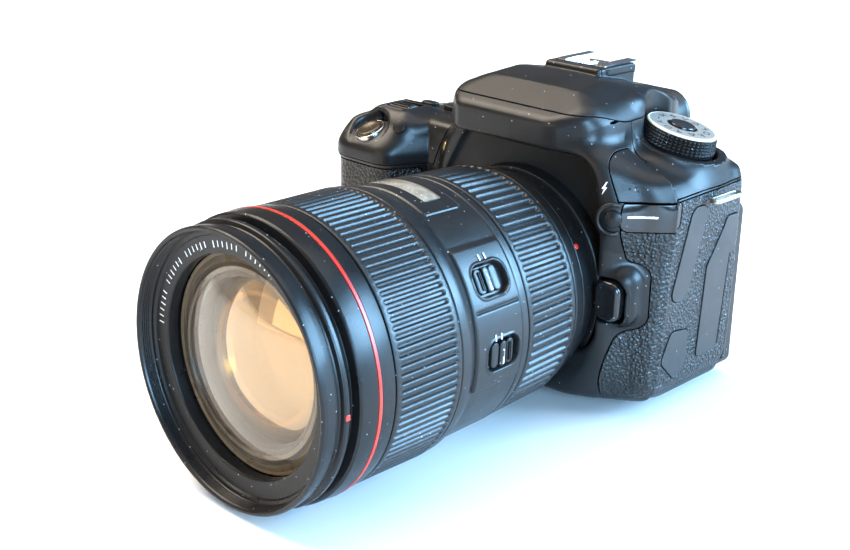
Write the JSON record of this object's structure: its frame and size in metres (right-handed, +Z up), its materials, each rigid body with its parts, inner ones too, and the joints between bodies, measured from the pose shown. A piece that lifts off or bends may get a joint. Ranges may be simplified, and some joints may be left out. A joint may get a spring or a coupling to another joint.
{
  "type": "digital single-lens reflex camera",
  "caption": "Digital single-lens reflex camera with a standard zoom lens, pop-up flash, swing-out monitor, dials, press buttons and port covers.",
  "frame": {"origin": "on the flat base, straight below the lens axis and the image sensor's plane", "axes": "+Z up, the lens points along -Y, +X is the side with the sockets and the mode dial"},
  "size_m": [0.1452, 0.1876, 0.1072],
  "materials": {
    "body_plastic": "fine satin texture",
    "body_rubber": "leather-grain rubber",
    "cover_rubber": "smooth rubber",
    "control_plastic": "satin",
    "gloss_black": "gloss",
    "dial_silver": "painted silver top, black knurled rim",
    "bright_steel": "bright",
    "chassis": "matt",
    "coated_glass": "coated, warm reflections",
    "mirror": "front silvered",
    "circuit_board": "solder mask",
    "sensor": "filter glass over silicon",
    "cell_case": "matt",
    "amber_lamp": "translucent amber",
    "lens_plastic": "fine satin texture",
    "lens_rubber": "ribbed rubber"
  },
  "bodies": {
    "camera_body": {"front_cover": "body_plastic", "top_cover": "body_plastic", "rear_cover": "body_plastic", "base_plate": "body_plastic", "grip_rubber": "body_rubber", "side_rubber": "body_rubber", "badge_plate": "gloss_black", "mount_ring": "bright_steel", "mirror_box": "chassis", "shutter_unit": "chassis", "image_sensor": "sensor", "focusing_screen": "coated_glass", "pentaprism": "coated_glass", "main_board": "circuit_board", "battery": "cell_case", "memory_card": "cell_case", "tripod_socket": "bright_steel", "hot_shoe": "bright_steel", "strap_lug_port": "bright_steel", "strap_lug_grip": "bright_steel", "self_timer_lamp": "amber_lamp", "top_display_window": "gloss_black", "eyepiece_lens": "coated_glass"},
    "lens": {"lens_barrel": "lens_plastic", "rear_glass": "coated_glass"},
    "front_barrel": {"front_barrel": "lens_plastic", "front_glass": "coated_glass"},
    "flash_head": {"flash_head": "body_plastic", "flash_window": "coated_glass"},
    "reflex_mirror": {"reflex_mirror": "mirror"},
    "battery_door": {"battery_door": "body_plastic"},
    "card_door": {"card_door": "body_plastic"},
    "audio_cover": {"audio_cover": "cover_rubber"},
    "terminal_cover": {"terminal_cover": "cover_rubber"},
    "remote_cover": {"remote_cover": "cover_rubber"},
    "flash_button": {"flash_button": "control_plastic"},
    "lens_release_button": {"lens_release_button": "control_plastic"},
    "depth_preview_button": {"depth_preview_button": "control_plastic"},
    "mode_dial": {"mode_dial": "dial_silver"},
    "mode_dial_lock_button": {"mode_dial_lock_button": "control_plastic"},
    "power_switch": {"power_switch": "control_plastic"},
    "shutter_button": {"shutter_button": "dial_silver"},
    "main_dial": {"main_dial": "control_plastic"},
    "af_area_button": {"af_area_button": "control_plastic"},
    "af_mode_button": {"af_mode_button": "control_plastic"},
    "drive_mode_button": {"drive_mode_button": "control_plastic"},
    "iso_button": {"iso_button": "control_plastic"},
    "metering_button": {"metering_button": "control_plastic"},
    "eyecup": {"eyecup": "cover_rubber"},
    "diopter_knob": {"diopter_knob": "control_plastic"},
    "monitor": {"monitor": "gloss_black"},
    "live_view_button": {"live_view_button": "control_plastic"},
    "quick_control_dial": {"quick_control_dial": "control_plastic"},
    "set_button": {"set_button": "control_plastic"},
    "af_on_button": {"af_on_button": "control_plastic"},
    "menu_button": {"menu_button": "control_plastic"},
    "zoom_ring": {"zoom_ring": "lens_rubber"},
    "focus_ring": {"focus_ring": "lens_rubber"},
    "af_mf_switch": {"af_mf_switch": "lens_plastic"},
    "stabiliser_switch": {"stabiliser_switch": "lens_plastic"}
  },
  "joints": [
    {"name": "mirror_flip", "type": "hinge", "parent": "camera_body", "child": "reflex_mirror", "pos_m": [0, -0.0115, 0.0504], "axis": [-1, 0, 0], "range_deg": [0, 45], "stiffness_Nm_per_rad": 0.02},
    {"name": "lens_bayonet", "type": "hinge", "parent": "camera_body", "child": "lens", "pos_m": [0, -0.044, 0.04], "axis": [0, -1, 0], "range_deg": [0, 60]},
    {"name": "zoom_turn", "type": "hinge", "parent": "lens", "child": "zoom_ring", "pos_m": [0, -0.07, 0.04], "axis": [0, -1, 0], "range_deg": [0, 77]},
    {"name": "zoom_extend", "type": "slide", "parent": "lens", "child": "front_barrel", "axis": [0, -1, 0], "range_m": [0, 0.044]},
    {"name": "focus_turn", "type": "hinge", "parent": "lens", "child": "focus_ring", "pos_m": [0, -0.1245, 0.04], "axis": [0, -1, 0], "range_deg": [-60, 60]},
    {"name": "af_mf_slide", "type": "slide", "parent": "lens", "child": "af_mf_switch", "axis": [0, 1, 0], "range_m": [0, 0.0022]},
    {"name": "stabiliser_slide", "type": "slide", "parent": "lens", "child": "stabiliser_switch", "axis": [0, -1, 0], "range_m": [0, 0.0022]},
    {"name": "flash_pop_up", "type": "hinge", "parent": "camera_body", "child": "flash_head", "pos_m": [0, -0.018, 0.1026], "axis": [-1, 0, 0], "range_deg": [0, 75]},
    {"name": "flash_button_press", "type": "slide", "parent": "camera_body", "child": "flash_button", "axis": [0, 1, 0], "range_m": [0, 0.001], "stiffness_N_per_m": 500},
    {"name": "lens_release_press", "type": "slide", "parent": "camera_body", "child": "lens_release_button", "axis": [0, 1, 0], "range_m": [0, 0.0025], "stiffness_N_per_m": 600},
    {"name": "depth_preview_press", "type": "slide", "parent": "camera_body", "child": "depth_preview_button", "axis": [0, 1, 0], "range_m": [0, 0.001], "stiffness_N_per_m": 500},
    {"name": "mode_dial_turn", "type": "hinge", "parent": "camera_body", "child": "mode_dial", "pos_m": [0.035, -0.006, 0.089], "axis": [0.2238, 0.0995, 0.9695], "continuous": true},
    {"name": "mode_dial_lock_press", "type": "slide", "parent": "mode_dial", "child": "mode_dial_lock_button", "axis": [-0.2238, -0.0995, -0.9695], "range_m": [0, 0.001], "stiffness_N_per_m": 400},
    {"name": "power_switch_turn", "type": "hinge", "parent": "camera_body", "child": "power_switch", "pos_m": [0.03299, -0.0069, 0.08027], "axis": [0.2238, 0.0995, 0.9695], "range_deg": [-35, 0]},
    {"name": "shutter_press", "type": "slide", "parent": "camera_body", "child": "shutter_button", "axis": [0.12, 0.4198, -0.8996], "range_m": [0, 0.0012], "stiffness_N_per_m": 400},
    {"name": "main_dial_turn", "type": "hinge", "parent": "camera_body", "child": "main_dial", "pos_m": [-0.061, -0.034, 0.0782], "axis": [1, 0, 0], "continuous": true},
    {"name": "af_area_press", "type": "slide", "parent": "camera_body", "child": "af_area_button", "axis": [0, 0.2496, -0.9684], "range_m": [0, 0.001], "stiffness_N_per_m": 400},
    {"name": "af_mode_press", "type": "slide", "parent": "camera_body", "child": "af_mode_button", "axis": [0, 0, -1], "range_m": [0, 0.001], "stiffness_N_per_m": 400},
    {"name": "drive_mode_press", "type": "slide", "parent": "camera_body", "child": "drive_mode_button", "axis": [0, 0, -1], "range_m": [0, 0.001], "stiffness_N_per_m": 400},
    {"name": "iso_press", "type": "slide", "parent": "camera_body", "child": "iso_button", "axis": [0, 0, -1], "range_m": [0, 0.001], "stiffness_N_per_m": 400},
    {"name": "metering_press", "type": "slide", "parent": "camera_body", "child": "metering_button", "axis": [0, 0, -1], "range_m": [0, 0.001], "stiffness_N_per_m": 400},
    {"name": "live_view_press", "type": "slide", "parent": "camera_body", "child": "live_view_button", "axis": [0, -1, 0], "range_m": [0, 0.0008], "stiffness_N_per_m": 400},
    {"name": "af_on_press", "type": "slide", "parent": "camera_body", "child": "af_on_button", "axis": [0, -1, 0], "range_m": [0, 0.0008], "stiffness_N_per_m": 400},
    {"name": "menu_press", "type": "slide", "parent": "camera_body", "child": "menu_button", "axis": [0, -1, 0], "range_m": [0, 0.0008], "stiffness_N_per_m": 400},
    {"name": "quick_dial_turn", "type": "hinge", "parent": "camera_body", "child": "quick_control_dial", "pos_m": [-0.056, 0.012, 0.028], "axis": [0, 1, 0], "continuous": true},
    {"name": "set_press", "type": "slide", "parent": "camera_body", "child": "set_button", "axis": [0, -1, 0], "range_m": [0, 0.001], "stiffness_N_per_m": 400},
    {"name": "diopter_turn", "type": "hinge", "parent": "camera_body", "child": "diopter_knob", "pos_m": [-0.032, 0.008, 0.087], "axis": [1, 0, 0], "range_deg": [-150, 150]},
    {"name": "eyecup_pull_off", "type": "slide", "parent": "camera_body", "child": "eyecup", "axis": [0, 0, 1], "range_m": [0, 0.016]},
    {"name": "monitor_swing", "type": "hinge", "parent": "camera_body", "child": "monitor", "pos_m": [0.049, 0.0168, 0.033], "axis": [0, 0, -1], "range_deg": [0, 175]},
    {"name": "battery_door_open", "type": "hinge", "parent": "camera_body", "child": "battery_door", "pos_m": [-0.054, -0.011, 0], "axis": [0, -1, 0], "range_deg": [0, 100]},
    {"name": "card_door_open", "type": "hinge", "parent": "camera_body", "child": "card_door", "pos_m": [-0.0803, 0.0072, 0.041], "axis": [0, 0, -1], "range_deg": [0, 100]},
    {"name": "terminal_cover_open", "type": "hinge", "parent": "camera_body", "child": "terminal_cover", "pos_m": [0.053, 0.0075, 0.038], "axis": [0, 0, 1], "range_deg": [0, 100]},
    {"name": "audio_cover_open", "type": "hinge", "parent": "camera_body", "child": "audio_cover", "pos_m": [0.053, -0.016, 0.05375], "axis": [0, 0.2617, 0.9651], "range_deg": [0, 90]},
    {"name": "remote_cover_open", "type": "hinge", "parent": "camera_body", "child": "remote_cover", "pos_m": [0.053, -0.0156, 0.02], "axis": [0, 0, 1], "range_deg": [0, 90]}
  ],
  "couplings": [
    {"joint": "zoom_extend", "follows": "zoom_turn", "m_per_rad": 0.03274}
  ]
}
